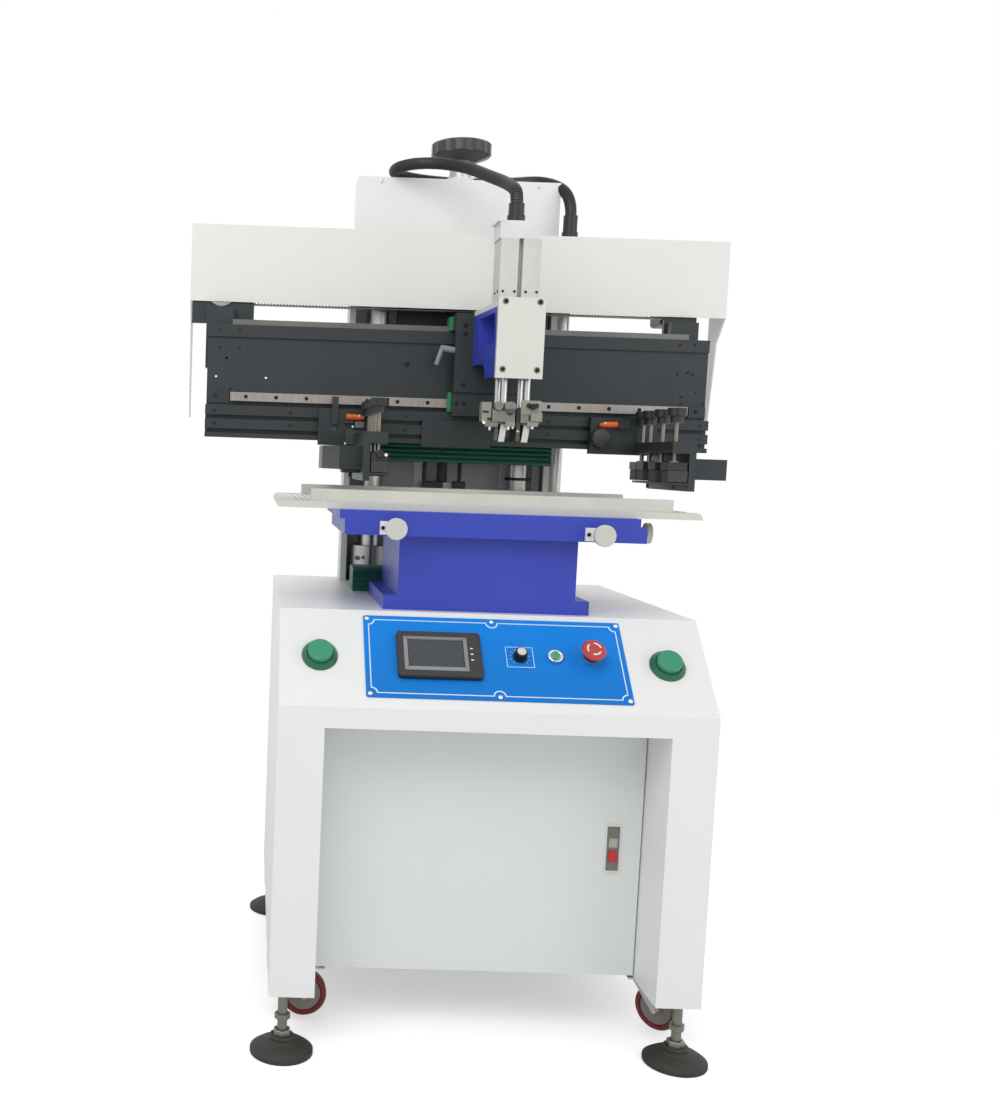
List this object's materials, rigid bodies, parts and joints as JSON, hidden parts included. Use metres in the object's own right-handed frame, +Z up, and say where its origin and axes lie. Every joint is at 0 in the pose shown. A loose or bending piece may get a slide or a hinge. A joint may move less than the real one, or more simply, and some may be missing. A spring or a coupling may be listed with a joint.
{
  "type": "solder paste printer",
  "caption": "Semi-automatic stencil printer: squeegee head on guide columns over a board table, on a white sheet-steel cabinet with control panel and levelling feet.",
  "frame": {"origin": "on the floor, under the middle of the whole machine", "axes": "+Z up, the operator stands at -Y, +X to the operator's right"},
  "size_m": [1.076, 0.7378, 1.623],
  "materials": {
    "white_paint": "textured powder coat",
    "zinc": "zinc plated",
    "black_steel": "black, dull",
    "blue_print": "satin print",
    "screen": "fine matte",
    "dark_green": "gloss",
    "green": "gloss",
    "red": "gloss",
    "black_plastic": "satin",
    "royal_blue": "satin paint",
    "grey_knob": "satin",
    "anodised": "clear anodised",
    "polished_steel": "ground and polished",
    "black_anodised": "black anodised",
    "bellows": "matt",
    "rail_steel": "ground",
    "belt": "matt",
    "black_gloss": "gloss",
    "machined": "machined",
    "conduit": "corrugated",
    "castor_tyre": "smooth"
  },
  "bodies": {
    "cabinet": {"front_frame": "white_paint", "side_panels": "white_paint", "rear_panel": "white_paint", "cabinet_top": "white_paint", "cabinet_floor": "zinc", "levelling_feet": "black_steel", "castor_plates": "zinc", "control_plate": "blue_print", "touch_screen": "screen", "button_bezels": "dark_green", "pedestal": "royal_blue", "table_plates": "royal_blue", "adjuster_blocks": "white_paint", "board_table": "anodised", "table_rails": "anodised", "guide_columns": "polished_steel", "rear_housing": "white_paint", "lift_cylinder": "black_anodised", "lower_bellows": "bellows"},
    "door": {"door": "white_paint"},
    "left_start_button": {"left_start_button": "green"},
    "right_start_button": {"right_start_button": "green"},
    "emergency_stop": {"emergency_stop": "red"},
    "speed_knob": {"speed_knob": "black_plastic"},
    "left_adjusting_knob": {"left_adjusting_knob": "grey_knob"},
    "right_adjusting_knob": {"right_adjusting_knob": "grey_knob"},
    "side_adjusting_knob": {"side_adjusting_knob": "grey_knob"},
    "print_head": {"beam_plate": "black_anodised", "beam_extrusion": "black_anodised", "beam_rails": "rail_steel", "bearing_carrier": "black_anodised", "upper_bellows": "bellows", "head_cover": "white_paint", "top_housing": "white_paint", "belt_brackets": "black_anodised", "belt_pulleys": "machined", "drive_belt": "belt", "head_conduit": "conduit", "conduit_glands": "black_plastic"},
    "handwheel": {"handwheel": "black_gloss"},
    "carriage": {"carriage_plate": "black_anodised", "rail_wipers": "green", "squeegee_bracket": "royal_blue", "front_plate": "white_paint", "cylinder_cover": "white_paint", "carriage_gland": "black_plastic"},
    "left_squeegee": {"left_squeegee": "machined"},
    "right_squeegee": {"right_squeegee": "machined"},
    "left_arm": {"left_stencil_arm": "black_anodised", "left_arm_clamps": "black_plastic"},
    "right_arm": {"right_stencil_arm": "black_anodised", "right_arm_clamps": "black_plastic"},
    "front_left_castor_fork": {"front_left_castor_fork": "zinc"},
    "front_left_castor_wheel": {"front_left_castor_wheel": "castor_tyre"},
    "front_right_castor_fork": {"front_right_castor_fork": "zinc"},
    "front_right_castor_wheel": {"front_right_castor_wheel": "castor_tyre"},
    "rear_left_castor_fork": {"rear_left_castor_fork": "zinc"},
    "rear_left_castor_wheel": {"rear_left_castor_wheel": "castor_tyre"},
    "rear_right_castor_fork": {"rear_right_castor_fork": "zinc"},
    "rear_right_castor_wheel": {"rear_right_castor_wheel": "castor_tyre"}
  },
  "joints": [
    {"name": "door_hinge", "type": "hinge", "parent": "cabinet", "child": "door", "pos_m": [-0.264, -0.232, 0.327], "axis": [0, 0, -1], "range_deg": [0, 88]},
    {"name": "head_lift", "type": "slide", "parent": "cabinet", "child": "print_head", "axis": [0, 0, 1], "range_m": [-0.008, 0.1]},
    {"name": "handwheel_turn", "type": "hinge", "parent": "print_head", "child": "handwheel", "pos_m": [0.004, 0.307, 1.6], "axis": [0, 0, 1], "continuous": true},
    {"name": "carriage_travel", "type": "slide", "parent": "print_head", "child": "carriage", "axis": [1, 0, 0], "range_m": [-0.13, 0.112]},
    {"name": "left_arm_slide", "type": "slide", "parent": "print_head", "child": "left_arm", "axis": [1, 0, 0], "range_m": [-0.15, 0]},
    {"name": "right_arm_slide", "type": "slide", "parent": "print_head", "child": "right_arm", "axis": [1, 0, 0], "range_m": [0, 0.03]},
    {"name": "stop_press", "type": "slide", "parent": "cabinet", "child": "emergency_stop", "axis": [0, 0.7251, -0.6886], "range_m": [0, 0.004]},
    {"name": "speed_turn", "type": "hinge", "parent": "cabinet", "child": "speed_knob", "pos_m": [0.043, -0.2835, 0.66465], "axis": [0, -0.7251, 0.6886], "range_deg": [-40, 230]},
    {"name": "left_start_press", "type": "slide", "parent": "cabinet", "child": "left_start_button", "axis": [0, 0.7251, -0.6886], "range_m": [0, 0.005], "stiffness_N_per_m": 600, "springref_m": -0.002},
    {"name": "left_squeegee_lift", "type": "slide", "parent": "carriage", "child": "left_squeegee", "axis": [0, 0, 1], "range_m": [-0.045, 0]},
    {"name": "left_adjuster_turn", "type": "hinge", "parent": "cabinet", "child": "left_adjusting_knob", "pos_m": [-0.165, -0.25, 0.862], "axis": [0, -1, 0], "continuous": true},
    {"name": "right_start_press", "type": "slide", "parent": "cabinet", "child": "right_start_button", "axis": [0, 0.7251, -0.6886], "range_m": [0, 0.005], "stiffness_N_per_m": 600, "springref_m": -0.002},
    {"name": "right_squeegee_lift", "type": "slide", "parent": "carriage", "child": "right_squeegee", "axis": [0, 0, 1], "range_m": [-0.045, 0]},
    {"name": "right_adjuster_turn", "type": "hinge", "parent": "cabinet", "child": "right_adjusting_knob", "pos_m": [0.177, -0.25, 0.862], "axis": [0, -1, 0], "continuous": true},
    {"name": "side_adjuster_turn", "type": "hinge", "parent": "cabinet", "child": "side_adjusting_knob", "pos_m": [0.28, -0.128, 0.862], "axis": [1, 0, 0], "continuous": true},
    {"name": "front_left_swivel", "type": "hinge", "parent": "cabinet", "child": "front_left_castor_fork", "pos_m": [-0.31, -0.203, 0.099], "axis": [0, 0, 1], "continuous": true},
    {"name": "front_left_roll", "type": "hinge", "parent": "front_left_castor_fork", "child": "front_left_castor_wheel", "pos_m": [-0.285, -0.203, 0.05], "axis": [0, 1, 0], "continuous": true},
    {"name": "front_right_swivel", "type": "hinge", "parent": "cabinet", "child": "front_right_castor_fork", "pos_m": [0.31, -0.203, 0.099], "axis": [0, 0, 1], "continuous": true},
    {"name": "front_right_roll", "type": "hinge", "parent": "front_right_castor_fork", "child": "front_right_castor_wheel", "pos_m": [0.32768, -0.22068, 0.05], "axis": [0.7071, 0.7071, 0], "continuous": true},
    {"name": "rear_left_swivel", "type": "hinge", "parent": "cabinet", "child": "rear_left_castor_fork", "pos_m": [-0.31, 0.203, 0.099], "axis": [0, 0, 1], "continuous": true},
    {"name": "rear_left_roll", "type": "hinge", "parent": "rear_left_castor_fork", "child": "rear_left_castor_wheel", "pos_m": [-0.285, 0.203, 0.05], "axis": [0, 1, 0], "continuous": true},
    {"name": "rear_right_swivel", "type": "hinge", "parent": "cabinet", "child": "rear_right_castor_fork", "pos_m": [0.31, 0.203, 0.099], "axis": [0, 0, 1], "continuous": true},
    {"name": "rear_right_roll", "type": "hinge", "parent": "rear_right_castor_fork", "child": "rear_right_castor_wheel", "pos_m": [0.285, 0.203, 0.05], "axis": [0, -1, 0], "continuous": true}
  ]
}
